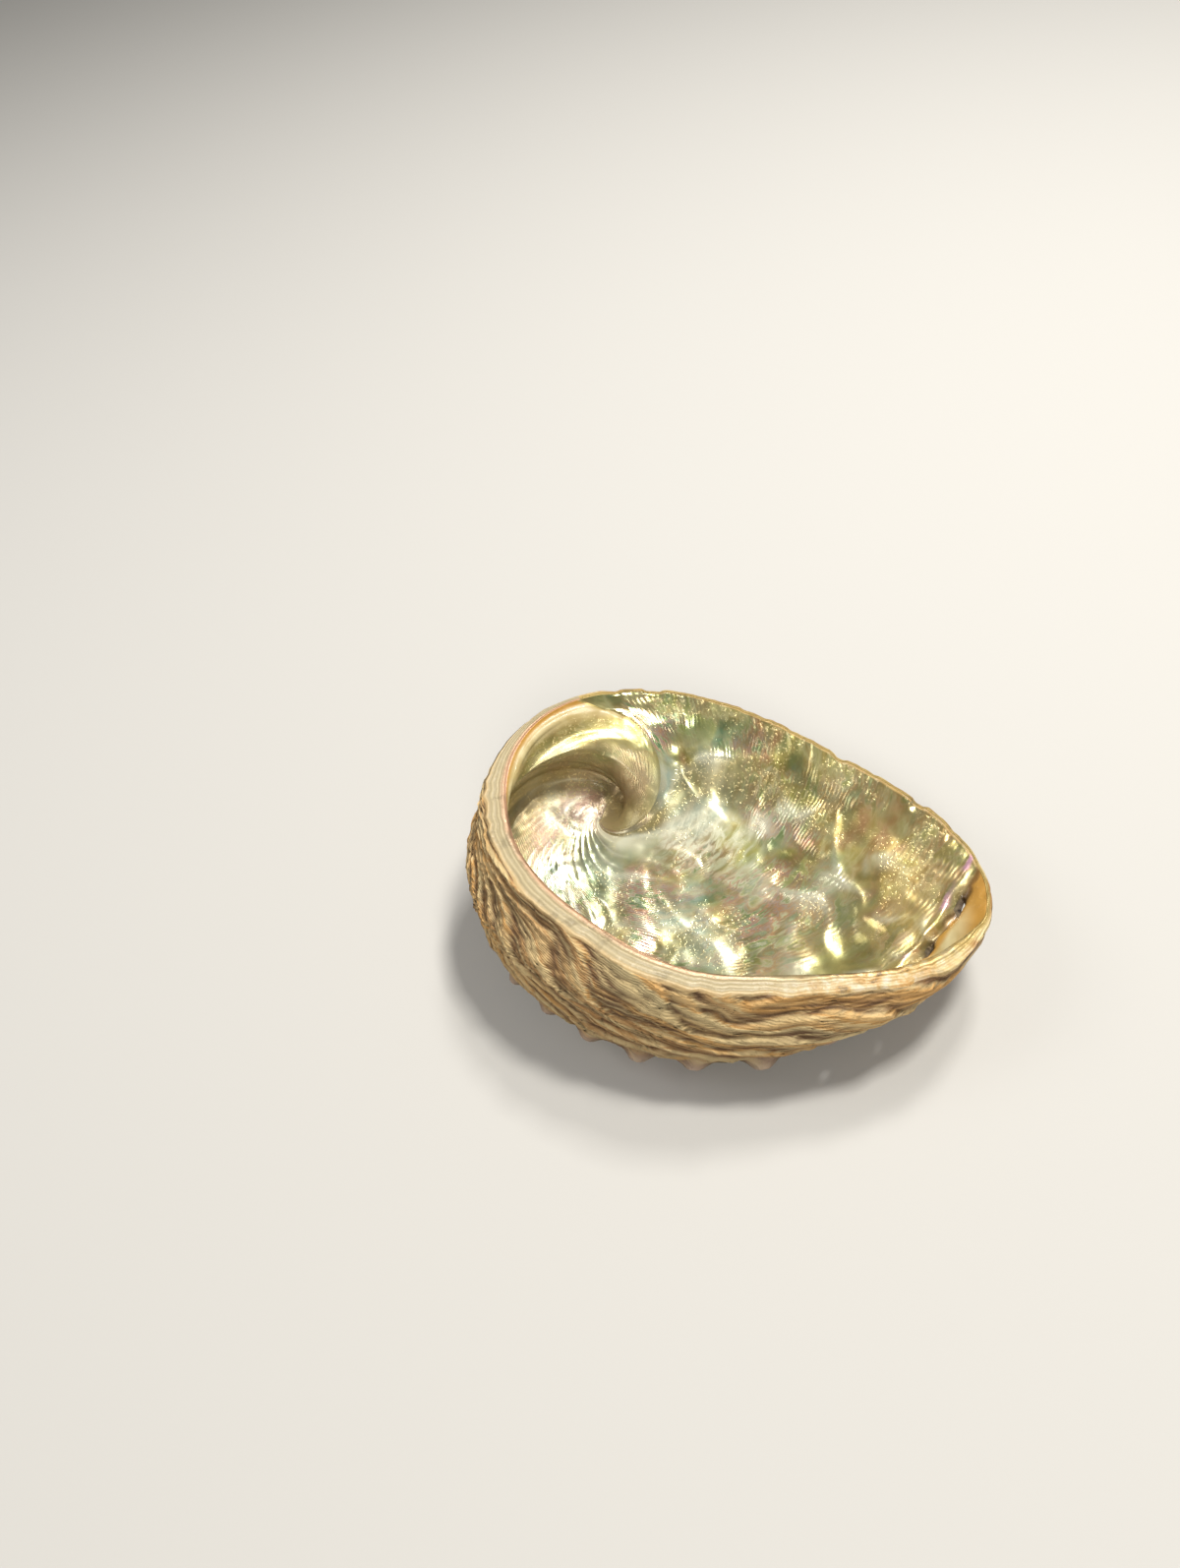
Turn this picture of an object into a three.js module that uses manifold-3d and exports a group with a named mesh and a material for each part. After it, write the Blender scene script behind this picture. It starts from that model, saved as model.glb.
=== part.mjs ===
// Abalone shell, lying on its back with the hollow up. Millimetres.
// It is worked out with the mouth's rim in the plane z = 0, then laid down to rest at the end.
// +X points to the head end, where the open holes are; +Y to the free outer lip;
// -Y to the row of holes and the flat inner shelf; +Z up, out of the hollow.
import * as THREE from "three";
import { mergeVertices } from "three/addons/utils/BufferGeometryUtils.js";
import Module from "manifold-3d";

const { exp, sin, cos, PI } = Math;
const DEG = PI / 180;

// The coil. Every growth stage is the mouth's rim shrunk and turned about an axis through the apex.
const APEX = new THREE.Vector3(-28.7, 0, -19.4); // tip of the spire, 19.4 below the rim's plane
const AXIS_TILT = 20 * DEG;      // lean of the coiling axis away from straight down
const AXIS_BEARING = 117 * DEG;  // where it leans to: between the tail end and the outer lip
const COIL_RATE_NOW = 0.22;      // ln of the shrinkage per radian of coil, at the rim
const COIL_RATE_EARLY = 0.66;    // and in the spire
const COIL_RATE_TURN = 1.2;      // radians of coil over which one rate gives way to the other
const AXIS = new THREE.Vector3(
  sin(AXIS_TILT) * cos(AXIS_BEARING),
  sin(AXIS_TILT) * sin(AXIS_BEARING),
  -cos(AXIS_TILT),
);

// The mouth's rim, in the plane z = 0: an oval whose radius is a short series of the angle.
const RIM_CENTRE = [0, -4.5];                          // x, y that the radius is measured from
const RIM_RADIUS = 37.97;
const RIM_COSINES = [0.9, -5.68, -1.82, -0.06, 0.44];  // added: times cos of the angle, twice it, ...
const RIM_SINES = [-1.38, 2.73, 0.26, -0.93, -0.05];
const SUTURE_ANGLE = -76 * DEG;  // where the lip leaves the spire, from +Y towards +X
const KEEL_ANGLE = 73 * DEG;     // where the roof turns over into the wall, at the head end
const NOTCH_DEPTH = 0.7;         // dip in the rim where the next hole is forming
const NOTCH_WIDTH = 0.025;       // half width of that dip, as a fraction of the lip

// The row of holes starts inside the keel and comes down to it further back.
const HOLE_ROW_SHIFT = 0.12;     // as a fraction of the lip
const HOLE_ROW_JOIN = 50 * DEG;

// The sheet between two growth stages bulges beyond the straight cone.
const ROOF_BULGE = 6.0;
const ROOF_FULLNESS = 0.7;       // less than 1: the bulge is fuller near the keel and the suture
const FOOT_BULGE = 3.8;
const FOOT_BULGE_RUN = 0.35;     // fraction of the wall over which its bulge comes in
const BULGE_TURN = 0.35;         // radians of growth over which the bulge comes in

// Wall thickness.
const LIP_THICKNESS = 1.1;
const BODY_THICKNESS = 1.9;
const SHELF_WIDTH = 4.8;         // widest part of the flat inner shelf
const SHELF_START = [0.97, 1.04]; // rim coordinates between which half of that width comes in,
const SHELF_FULL = [1, 1.3];     // and the other half
const SHELF_END = [2, 1.75];     // and where it narrows again to the suture
const SHELF_SINK = 0.8;          // how far the shelf's inner edge lies below its outer edge
const SHELF_DEPTH = 8;           // depth below the rim at which the shelf has thinned to the wall
const THICKENING_TURN = 0.4;
const LEVEL_TURN = 0.45;         // radians over which the inside turns from level to square to the wall
const CEILING_DROP = 4;          // how far below the rim the inside must keep, one radian back
const CEILING_ROUNDING = 1.5;    // distance from that ceiling at which the inside bends level
const CEILING_ROUNDING_TURN = 0.2;
const FULL_THICKNESS_SCALE = 0.4; // growth stages smaller than this have thinner walls in proportion

// Steps over which the directions along and across the sheet are taken.
const STEP_U = 0.03;
const STEP_TURN = 0.06;
const STEP_RIM = 0.02;

// Faceting.
const LIP_COLUMNS = 28;
const WALL_COLUMNS = 28;
const COLUMNS = LIP_COLUMNS + WALL_COLUMNS;
const OUTER_ROWS = 42;
const INNER_ROWS = 22;
const ROW_POWER = 1.5;           // rows crowd towards the rim
const OUTER_END_TURN = 400 * DEG; // the outside coils on this far back from the rim
const INNER_END_TURN = 250 * DEG; // the hollow is filled in with shell beyond this

// Tubes along the row: the youngest are open holes, the older ones are closed knobs.
const FIRST_TUBE_TURN = 5 * DEG;
const TUBE_SPACING_TURN = 7.4 * DEG;
const TUBE_SPREADING_TURN = 0.16 * DEG; // times the square of the tube's number
const TUBE_COUNT = 15;
const OPEN_TUBES = 4;
const TUBE_RADIUS = 3.4;         // at the foot, for a tube at the rim; older ones are smaller
const TUBE_TOP_RADIUS = 1.9;
const TUBE_HEIGHT = 2.0;         // above the sheet
const TUBE_ROOT = 1.1;           // how far its foot is sunk in the wall
const HOLE_RADIUS = 1.25;
const HOLE_LENGTH = 9;
const CUP_DEPTH = 1.1;           // hollow in the end of a closed knob
const CUP_BOTTOM_RADIUS = 0.6;
const TUBE_SIDES = 8;

// How the shell lies: it rocks on its round back until it balances, with the outer lip and the
// head end a little low, on a small worn flat.
const REST_ROLL = -8 * DEG;      // about X
const REST_PITCH = 4.5 * DEG;    // about Y
const WORN_DEPTH = 0.3;
const BLOCK_SIZE = 200;          // block that grinds the flat: larger than the shell

const mix = (a, b, f) => a + (b - a) * f;
const clamp01 = (x) => Math.min(1, Math.max(0, x));

function smooth(from, to, x) {
  const f = clamp01((x - from) / (to - from));
  return f * f * (3 - 2 * f);
}

// Size of the growth stage that lies an angle of coil back from the rim.
function scaleAt(turn) {
  const settling = COIL_RATE_TURN * (1 - exp(-turn / COIL_RATE_TURN));
  return exp(-COIL_RATE_EARLY * turn + (COIL_RATE_EARLY - COIL_RATE_NOW) * settling);
}

// A point of the rim moved back in growth by an angle of coil.
function coil(point, turn) {
  return point.clone().sub(APEX).applyAxisAngle(AXIS, turn).multiplyScalar(scaleAt(turn)).add(APEX);
}

// Angle about the rim's centre for the rim coordinate u: 0 at the suture, 1 at the keel, 2 at the
// suture again.
function rimAngle(u) {
  return u <= 1
    ? mix(SUTURE_ANGLE, KEEL_ANGLE, u)
    : mix(KEEL_ANGLE, SUTURE_ANGLE + 2 * PI, u - 1);
}

// Rim coordinate of the row of holes, an angle of coil back from the rim.
function holeRow(turn) {
  return 1 - HOLE_ROW_SHIFT * (1 - smooth(0, HOLE_ROW_JOIN, turn));
}

function rimPoint(u) {
  const angle = rimAngle(u);
  let radius = RIM_RADIUS;
  RIM_COSINES.forEach((cosine, i) => {
    radius += cosine * cos((i + 1) * angle) + RIM_SINES[i] * sin((i + 1) * angle);
  });
  const notch = NOTCH_DEPTH * exp(-(((u - holeRow(0)) / NOTCH_WIDTH) ** 2));
  return new THREE.Vector3(RIM_CENTRE[0] + radius * sin(angle), RIM_CENTRE[1] + radius * cos(angle), -notch);
}

function bulge(u) {
  if (u <= 1) {
    return FOOT_BULGE * (1 - u) ** 2 + ROOF_BULGE * sin(PI * u) ** ROOF_FULLNESS;
  }
  return FOOT_BULGE * smooth(1, 1 + FOOT_BULGE_RUN, u);
}

// The outside of the shell.
function outerPoint(u, turn) {
  const point = rimPoint(u);
  point.z -= bulge(u) * (1 - exp(-turn / BULGE_TURN));
  return coil(point, turn);
}

const wrapped = (u) => (u + 2) % 2;

function outwardNormal(u, turn) {
  const acrossU = outerPoint(wrapped(u + STEP_U), turn).sub(outerPoint(wrapped(u - STEP_U), turn));
  const acrossTurn = outerPoint(u, turn + STEP_TURN).sub(outerPoint(u, turn - STEP_TURN));
  return acrossU.cross(acrossTurn).normalize();
}

// Level direction from the rim towards the hollow.
function acrossRim(u) {
  const along = rimPoint(wrapped(u + STEP_RIM)).sub(rimPoint(wrapped(u - STEP_RIM)));
  return new THREE.Vector3(along.y, -along.x, 0).normalize();
}

// Width of the rim: a thin lip, and a broad shelf on the side of the holes.
function rimWidth(u) {
  const shelf = (smooth(...SHELF_START, u) + smooth(...SHELF_FULL, u)) / 2 * smooth(...SHELF_END, u);
  return mix(LIP_THICKNESS, SHELF_WIDTH, shelf);
}

function thickness(u, turn, depth) {
  const thinning = Math.min(1, scaleAt(turn) / FULL_THICKNESS_SCALE);
  const settled = u <= 1 ? smooth(0, THICKENING_TURN, turn) : smooth(1, SHELF_DEPTH, depth);
  return thinning * mix(rimWidth(u), BODY_THICKNESS, settled);
}

// Height below a ceiling: where it would come near, it bends over on a parabola that ends level.
function underCeiling(z, ceiling, rounding) {
  const room = Math.max(0, ceiling + rounding - z);
  return room >= 2 * rounding ? z : ceiling - room ** 2 / (4 * rounding);
}

// The inside: the outside moved inwards, level at the rim and square to the wall further in.
function innerPoint(u, turn) {
  const outside = outerPoint(u, turn);
  const inward = outwardNormal(u, turn).negate();
  inward.lerp(acrossRim(u).applyAxisAngle(AXIS, turn), 1 - smooth(0, LEVEL_TURN, turn)).normalize();
  const point = outside.clone().addScaledVector(inward, thickness(u, turn, -outside.z));
  const sink = SHELF_SINK * (rimWidth(u) - LIP_THICKNESS) / SHELF_WIDTH;
  const ceiling = -sink - CEILING_DROP * smooth(0, 1, turn);
  const rounding = mix(0.001, CEILING_ROUNDING, smooth(0, CEILING_ROUNDING_TURN, turn));
  return point.setZ(underCeiling(point.z, ceiling, rounding));
}

const columnCoordinate = (i) => (i <= LIP_COLUMNS ? i / LIP_COLUMNS : 1 + (i - LIP_COLUMNS) / WALL_COLUMNS);

// One row of points for each growth stage, from the rim back to the given turn.
function sheet(pointAt, rows, endTurn) {
  const points = [];
  for (let j = 0; j <= rows; j += 1) {
    const turn = endTurn * (j / rows) ** ROW_POWER;
    for (let i = 0; i < COLUMNS; i += 1) {
      points.push(pointAt(columnCoordinate(i), turn));
    }
  }
  return points;
}

function centreOf(points) {
  const centre = points.reduce((sum, p) => sum.add(p), new THREE.Vector3());
  return centre.multiplyScalar(1 / points.length);
}

// The outer and inner sheets, joined along the rim and capped at their small ends.
function shellGeometry() {
  const outer = sheet(outerPoint, OUTER_ROWS, OUTER_END_TURN);
  const inner = sheet(innerPoint, INNER_ROWS, INNER_END_TURN);
  const points = [...outer, ...inner];
  const faces = [];
  const next = (i) => (i + 1) % COLUMNS;
  const band = (low, high, flip) => {
    for (let i = 0; i < COLUMNS; i += 1) {
      const quad = [low + i, low + next(i), high + next(i), high + i];
      const [a, b, c, d] = flip ? quad.reverse() : quad;
      faces.push(a, b, c, a, c, d);
    }
  };
  const cap = (row, tip, flip) => {
    for (let i = 0; i < COLUMNS; i += 1) {
      faces.push(...(flip ? [row + next(i), row + i, tip] : [row + i, row + next(i), tip]));
    }
  };
  const innerStart = outer.length;
  for (let j = 0; j < OUTER_ROWS; j += 1) {
    band(j * COLUMNS, (j + 1) * COLUMNS, false);
  }
  for (let j = 0; j < INNER_ROWS; j += 1) {
    band(innerStart + j * COLUMNS, innerStart + (j + 1) * COLUMNS, true);
  }
  band(0, innerStart, true);
  const outerEnd = OUTER_ROWS * COLUMNS;
  const innerEnd = innerStart + INNER_ROWS * COLUMNS;
  points.push(APEX.clone(), centreOf(inner.slice(-COLUMNS)));
  cap(outerEnd, points.length - 2, false);
  cap(innerEnd, points.length - 1, true);
  const geometry = new THREE.BufferGeometry();
  geometry.setAttribute("position", new THREE.Float32BufferAttribute(points.flatMap((p) => p.toArray()), 3));
  geometry.setIndex(faces);
  return geometry;
}

// A straight tapered peg with its foot on the row of holes, standing square to the shell.
function rowPeg(turn, footRadius, topRadius, from, to) {
  const scale = scaleAt(turn);
  const geometry = new THREE.CylinderGeometry(
    topRadius * scale, footRadius * scale, (to - from) * scale, TUBE_SIDES,
  );
  geometry.translate(0, (from + to) / 2 * scale, 0);
  const place = holeRow(turn);
  const outward = outwardNormal(place, turn);
  const turnUp = new THREE.Quaternion().setFromUnitVectors(new THREE.Vector3(0, 1, 0), outward);
  geometry.applyQuaternion(turnUp);
  return geometry.translate(...outerPoint(place, turn).toArray());
}

const tubeTurn = (n) => FIRST_TUBE_TURN + n * TUBE_SPACING_TURN + n ** 2 * TUBE_SPREADING_TURN;

const wasm = await Module();
wasm.setup();

function toSolid(geometry) {
  const bare = geometry.clone();
  bare.deleteAttribute("normal");
  bare.deleteAttribute("uv");
  const merged = mergeVertices(bare, 1e-4);
  return new wasm.Manifold(new wasm.Mesh({
    numProp: 3,
    vertProperties: new Float32Array(merged.attributes.position.array),
    triVerts: new Uint32Array(merged.index.array),
  }));
}

function toGeometry(solid) {
  const mesh = solid.getMesh();
  const geometry = new THREE.BufferGeometry();
  geometry.setAttribute("position", new THREE.BufferAttribute(mesh.vertProperties, 3));
  geometry.setIndex(new THREE.BufferAttribute(mesh.triVerts, 1));
  geometry.computeVertexNormals();
  return geometry;
}

function withTubes(body) {
  const turns = Array.from({ length: TUBE_COUNT }, (_, n) => tubeTurn(n));
  let solid = body;
  for (const turn of turns) {
    solid = solid.add(toSolid(layDown(rowPeg(turn, TUBE_RADIUS, TUBE_TOP_RADIUS, -TUBE_ROOT, TUBE_HEIGHT))));
  }
  turns.forEach((turn, n) => {
    const cutter = n < OPEN_TUBES
      ? rowPeg(turn, HOLE_RADIUS, HOLE_RADIUS, -HOLE_LENGTH / 2, HOLE_LENGTH / 2)
      : rowPeg(turn, CUP_BOTTOM_RADIUS, HOLE_RADIUS, TUBE_HEIGHT - CUP_DEPTH, TUBE_HEIGHT + 1);
    solid = solid.subtract(toSolid(layDown(cutter)));
  });
  return solid;
}

const layDown = (geometry) => geometry.rotateX(REST_ROLL).rotateY(REST_PITCH);

function makeSolid() {
  const body = layDown(shellGeometry());
  body.computeBoundingBox();
  const floor = body.boundingBox.min.z + WORN_DEPTH;
  const block = new THREE.BoxGeometry(BLOCK_SIZE, BLOCK_SIZE, BLOCK_SIZE);
  block.translate(0, 0, floor - BLOCK_SIZE / 2);
  return withTubes(toSolid(body)).subtract(toSolid(block));
}

const shellMaterial = new THREE.MeshStandardMaterial({ color: 0xb5a27a, roughness: 0.45, metalness: 0 });

// The origin is on the ground under the middle of the shell.
function makeShell() {
  const geometry = toGeometry(makeSolid());
  geometry.computeBoundingBox();
  const { min, max } = geometry.boundingBox;
  geometry.translate(-(min.x + max.x) / 2, -(min.y + max.y) / 2, -min.z);
  const mesh = new THREE.Mesh(geometry, shellMaterial);
  mesh.name = "shell";
  return mesh;
}

const abaloneShell = new THREE.Group();
abaloneShell.add(makeShell());

export default abaloneShell;
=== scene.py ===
"""Abalone shell, lying on its back with the hollow up.

The whole outside is one sheet: a point u of the mouth's rim, carried back in growth by an angle of
coil called turn. Lengths in the shape functions are millimetres, in the rim's own frame: the rim
lies in z = 0, +X is the head end, +Y the free outer lip and +Z out of the hollow.
"""
from math import cos, hypot, pi, sin, sqrt

import bpy
import numpy as np
from mathutils import Matrix, Vector
from numpy.linalg import norm


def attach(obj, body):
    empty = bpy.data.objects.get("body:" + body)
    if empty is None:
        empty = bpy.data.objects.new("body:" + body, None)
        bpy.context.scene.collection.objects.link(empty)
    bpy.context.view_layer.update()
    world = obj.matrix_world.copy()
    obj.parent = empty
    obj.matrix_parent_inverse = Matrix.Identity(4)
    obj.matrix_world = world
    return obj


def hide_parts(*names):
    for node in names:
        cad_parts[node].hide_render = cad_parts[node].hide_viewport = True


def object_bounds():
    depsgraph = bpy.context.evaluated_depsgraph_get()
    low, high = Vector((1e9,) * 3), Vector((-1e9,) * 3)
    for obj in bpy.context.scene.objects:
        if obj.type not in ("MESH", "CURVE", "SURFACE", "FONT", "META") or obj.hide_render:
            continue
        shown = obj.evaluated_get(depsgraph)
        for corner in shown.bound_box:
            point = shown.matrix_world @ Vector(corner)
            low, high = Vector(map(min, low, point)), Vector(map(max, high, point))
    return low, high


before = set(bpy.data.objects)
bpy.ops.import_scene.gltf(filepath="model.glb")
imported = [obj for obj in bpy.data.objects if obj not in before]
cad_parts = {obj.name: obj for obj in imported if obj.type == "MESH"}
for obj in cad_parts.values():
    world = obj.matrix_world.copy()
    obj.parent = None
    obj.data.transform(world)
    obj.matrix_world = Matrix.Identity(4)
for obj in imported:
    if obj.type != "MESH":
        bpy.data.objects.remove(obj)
cad_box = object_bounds()

MM = 0.001
DEG = pi / 180

# The coil, as the solid model has it.
APEX = np.array([-28.7, 0.0, -19.4])
AXIS_TILT = 20 * DEG
AXIS_BEARING = 117 * DEG
AXIS = np.array([
    sin(AXIS_TILT) * cos(AXIS_BEARING),
    sin(AXIS_TILT) * sin(AXIS_BEARING),
    -cos(AXIS_TILT),
])
COIL_RATE_NOW = 0.22
COIL_RATE_EARLY = 0.66
COIL_RATE_TURN = 1.2

# The mouth's rim.
RIM_CENTRE = (0.0, -4.5)
RIM_RADIUS = 37.97
RIM_COSINES = (0.9, -5.68, -1.82, -0.06, 0.44)
RIM_SINES = (-1.38, 2.73, 0.26, -0.93, -0.05)
SUTURE_ANGLE = -76 * DEG
KEEL_ANGLE = 73 * DEG
NOTCH_DEPTH = 0.7
NOTCH_WIDTH = 0.025
ROOF_BULGE = 6.0
ROOF_BULGE_POWER = 0.7
FOOT_BULGE = 3.8
FOOT_BULGE_FULL_U = 1.35
BULGE_TURN = 0.35

# Wall thickness.
LIP_THICKNESS = 1.1
BODY_THICKNESS = 1.9
SHELF_WIDTH = 4.8
SHELF_SINK = 0.8
SHELF_DEPTH = 8  # depth at which the shelf has become the body's wall
THICKENING_TURN = 0.4
LEVEL_TURN = 0.45
CEILING_DROP = 4
FULL_THICKNESS_SCALE = 0.4

# Steps between points whose difference gives a direction or a speed.
NORMAL_STEP_U = 0.03
NORMAL_STEP_TURN = 0.06
RIM_STEP_U = 0.02
SPEED_STEP = 0.004

# Finishes, in the order of the mesh's material slots.
CRUST, NACRE, RIM = 0, 1, 2

# Grid of the fine surface.
LIP_COLUMNS = 190
WALL_COLUMNS = 116
COLUMNS = LIP_COLUMNS + WALL_COLUMNS
OUTER_ROWS = 163
WALL_SPREAD = 1.2  # wall columns crowd towards the keel by this power
ROW_SPREAD = 0.92  # rows get closer with the shell's size to this power
OUTER_END_TURN = 400 * DEG
INNER_END_TURN = 250 * DEG
RIM_RINGS = 7

# Tubes along the keel.
FIRST_TUBE_TURN = 5 * DEG
TUBE_SPACING_TURN = 7.4 * DEG
TUBE_SPREADING_TURN = 0.16 * DEG  # times the square of the tube's number
HOLE_ROW_SHIFT = 0.12  # how far inside the keel the row of holes starts, in u
HOLE_ROW_JOIN = 50 * DEG  # where it has come down to the keel
GAP_PER_U = 150  # millimetres for one unit of u, near the row of holes
TUBE_COUNT = 24
OPEN_TUBES = 4
TUBE_RADIUS = 3.0
TUBE_TOP_RADIUS = 1.8
TUBE_HEIGHT = 2.9
OPEN_TUBE_SHARE = 0.4  # of the height, at the open tubes
TUBE_REACH = 2.2  # tube radii within which a tube raises the surface
HOLE_RADIUS = 1.25
HOLE_CELLS = 2  # half width of the patch of cells that a hole takes out
CUP_DEPTH = 0.9
OPEN_CUP_DEPTH = 0.2

# How the shell lies.
REST_ROLL = -8 * DEG
REST_PITCH = 4.5 * DEG
RIM_ORIGIN_ON_GROUND = np.array([0.6937, 8.4378, 19.1311])
LAY_DOWN = np.array(Matrix.Rotation(REST_PITCH, 3, "Y") @ Matrix.Rotation(REST_ROLL, 3, "X"))


def smooth(start, end, x):
    """0 before start, 1 after end, and an S-curve between them."""
    f = np.clip((x - start) / (end - start), 0, 1)
    return f * f * (3 - 2 * f)


def bell(x, width):
    """A bell curve: e to the minus square of x in widths, so 1 at x = 0."""
    return np.exp(-(x / width) ** 2)


def mix(a, b, f):
    """a and b blended: a at f = 0, b at f = 1."""
    return a + (b - a) * f


def unit(v):
    """Vectors of length one."""
    return v / np.maximum(norm(v, axis=-1, keepdims=True), 1e-9)


def vectors(x, y, z):
    """Points from three arrays of coordinates."""
    return np.stack(np.broadcast_arrays(x, y, z), axis=-1).astype(float)


def spin(v, turn):
    """v turned about the coil's axis: its part along the axis stays, the rest turns."""
    c = np.cos(turn)[..., None]
    s = np.sin(turn)[..., None]
    return v * c + np.cross(AXIS, v) * s + AXIS * (v @ AXIS)[..., None] * (1 - c)


def scale_at(turn):
    """Size of a growth stage: e to minus the coil rate summed over the turn."""
    settling = COIL_RATE_TURN * (1 - np.exp(-turn / COIL_RATE_TURN))
    return np.exp(-COIL_RATE_EARLY * turn + (COIL_RATE_EARLY - COIL_RATE_NOW) * settling)


def coil(points, turn):
    """Points of the rim shrunk towards the apex and turned about the axis."""
    return APEX + scale_at(turn)[..., None] * spin(points - APEX, turn)


def rim_angle(u):
    """Angle about the rim's centre: even from suture to keel, and even again back to the suture."""
    lip = mix(SUTURE_ANGLE, KEEL_ANGLE, u)
    foot = mix(KEEL_ANGLE, SUTURE_ANGLE + 2 * pi, u - 1)
    return np.where(u <= 1, lip, foot)


def rim_point(u):
    """The rim: a radius with five cosine and sine terms of the angle, and at the row of holes a
    notch, a bell curve of u."""
    angle = rim_angle(u)
    radius = np.full(np.shape(u), RIM_RADIUS)
    for k, (c, s) in enumerate(zip(RIM_COSINES, RIM_SINES), start=1):
        radius = radius + c * np.cos(k * angle) + s * np.sin(k * angle)
    notch = NOTCH_DEPTH * bell(u - hole_row(0.0), NOTCH_WIDTH)
    x, y = RIM_CENTRE
    return vectors(x + radius * np.sin(angle), y + radius * np.cos(angle), -notch)


def hole_row(turn):
    """u of the row of holes: inside the keel at the newest growth, on the keel further back."""
    return 1 - HOLE_ROW_SHIFT * (1 - smooth(0, HOLE_ROW_JOIN, np.asarray(turn, float)))


def bulge(u):
    """How far the surface swells beyond the straight cone: an arch over the roof, with the foot's
    swelling near the suture, and an S-curve from the keel down the wall."""
    arch = np.sin(pi * np.clip(u, 0, 1)) ** ROOF_BULGE_POWER
    roof = FOOT_BULGE * (1 - u) ** 2 + ROOF_BULGE * arch
    return np.where(u <= 1, roof, FOOT_BULGE * smooth(1, FOOT_BULGE_FULL_U, u))


def outer_point(u, turn):
    """The smooth outside: the rim, swollen as the turn goes back, then coiled."""
    point = rim_point(u)
    point[..., 2] -= bulge(u) * (1 - np.exp(-turn / BULGE_TURN))
    return coil(point, turn)


def outward_normal(u, turn):
    """Square to the sheet's two directions, from points a little to each side."""
    du, dt = NORMAL_STEP_U, NORMAL_STEP_TURN
    across_u = outer_point((u + du) % 2, turn) - outer_point((u - du) % 2, turn)
    across_t = outer_point(u, turn + dt) - outer_point(u, turn - dt)
    return unit(np.cross(across_u, across_t))


def across_rim(u):
    """Level direction from the rim towards the hollow."""
    along = rim_point((u + RIM_STEP_U) % 2) - rim_point((u - RIM_STEP_U) % 2)
    return unit(vectors(along[..., 1], -along[..., 0], 0 * u))


def rim_width(u):
    """A thin lip, and a broad shelf past the row of holes: half its width comes at once there, the
    rest by u = 1.3, and it narrows again before the suture."""
    shelf = 0.5 * smooth(0.97, 1.04, u) + 0.5 * smooth(1, 1.3, u)
    return mix(LIP_THICKNESS, SHELF_WIDTH, shelf * smooth(2, 1.75, u))


def thickness(u, turn, depth):
    """The rim's width at the rim, thinning or thickening to the body's wall further in."""
    thinning = np.minimum(1, scale_at(turn) / FULL_THICKNESS_SCALE)
    settled = np.where(u <= 1, smooth(0, THICKENING_TURN, turn), smooth(1, SHELF_DEPTH, depth))
    return thinning * mix(rim_width(u), BODY_THICKNESS, settled)


def under_ceiling(z, u, turn):
    """z held below a ceiling that drops away from the rim, with a parabola for the corner."""
    sink = SHELF_SINK * (rim_width(u) - LIP_THICKNESS) / SHELF_WIDTH
    ceiling = -sink - CEILING_DROP * smooth(0, 1, turn)
    round_off = 1.5 * smooth(0, 0.2, turn) + 1e-6
    over = np.clip(z - ceiling, -round_off, round_off)
    rounded = ceiling - (round_off - over) ** 2 / (4 * round_off)
    return np.where(z - ceiling > -round_off, rounded, z)


def inner_point(u, turn):
    """The inside: level with the rim at first, then square to the wall, one thickness in."""
    outside = outer_point(u, turn)
    square = -outward_normal(u, turn)
    level = spin(across_rim(u), turn)
    inward = unit(mix(square, level, (1 - smooth(0, LEVEL_TURN, turn))[..., None]))
    point = outside + inward * thickness(u, turn, -outside[..., 2])[..., None]
    point[..., 2] = under_ceiling(point[..., 2], u, turn)
    return point


def waves(points, wavelength, seed, count=14):
    """Smooth noise between about -1 and 1: a sum of sine waves in chance directions, with lengths
    near the one given."""
    dice = np.random.default_rng(seed)
    total = np.zeros(points.shape[:-1])
    for _ in range(count):
        direction = unit(dice.normal(size=3))
        length = wavelength * dice.uniform(0.75, 1.35)
        total += np.sin(points @ direction * (2 * pi / length) + dice.uniform(0, 2 * pi))
    return total / sqrt(count / 2) / 1.6


# ---- the grid

def row_turns():
    """turn of each row: even steps of the sum of the shell's size to a power."""
    fine = np.linspace(0, OUTER_END_TURN, 4000)
    run = np.concatenate([[0], np.cumsum(scale_at(fine[1:]) ** ROW_SPREAD)])
    return np.interp(np.linspace(0, run[-1], OUTER_ROWS + 1), run, fine)


def grid_coordinates(turns):
    """u and turn of every grid point: one column keeps to the row of holes, the lip's columns are
    even from the suture to it, and the wall's columns crowd towards it."""
    lip = np.arange(LIP_COLUMNS) / LIP_COLUMNS
    wall = (np.arange(WALL_COLUMNS) / WALL_COLUMNS) ** WALL_SPREAD
    row = hole_row(turns)[:, None]
    u = np.hstack([lip * row, row + (2 - row) * wall])
    return u, np.repeat(turns[:, None], COLUMNS, axis=1)


def nearest_row(turns, turn):
    """Number of the row that lies nearest to a turn."""
    return int(np.argmin(np.abs(turns - turn)))


def speed(place, turn, du, dt):
    """Millimetres that the smooth outside moves for one unit of u or of turn."""
    pair = outer_point(np.array([place, place + du]), np.array([turn, turn + dt]))
    return norm(pair[1] - pair[0]) / hypot(du, dt)


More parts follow.
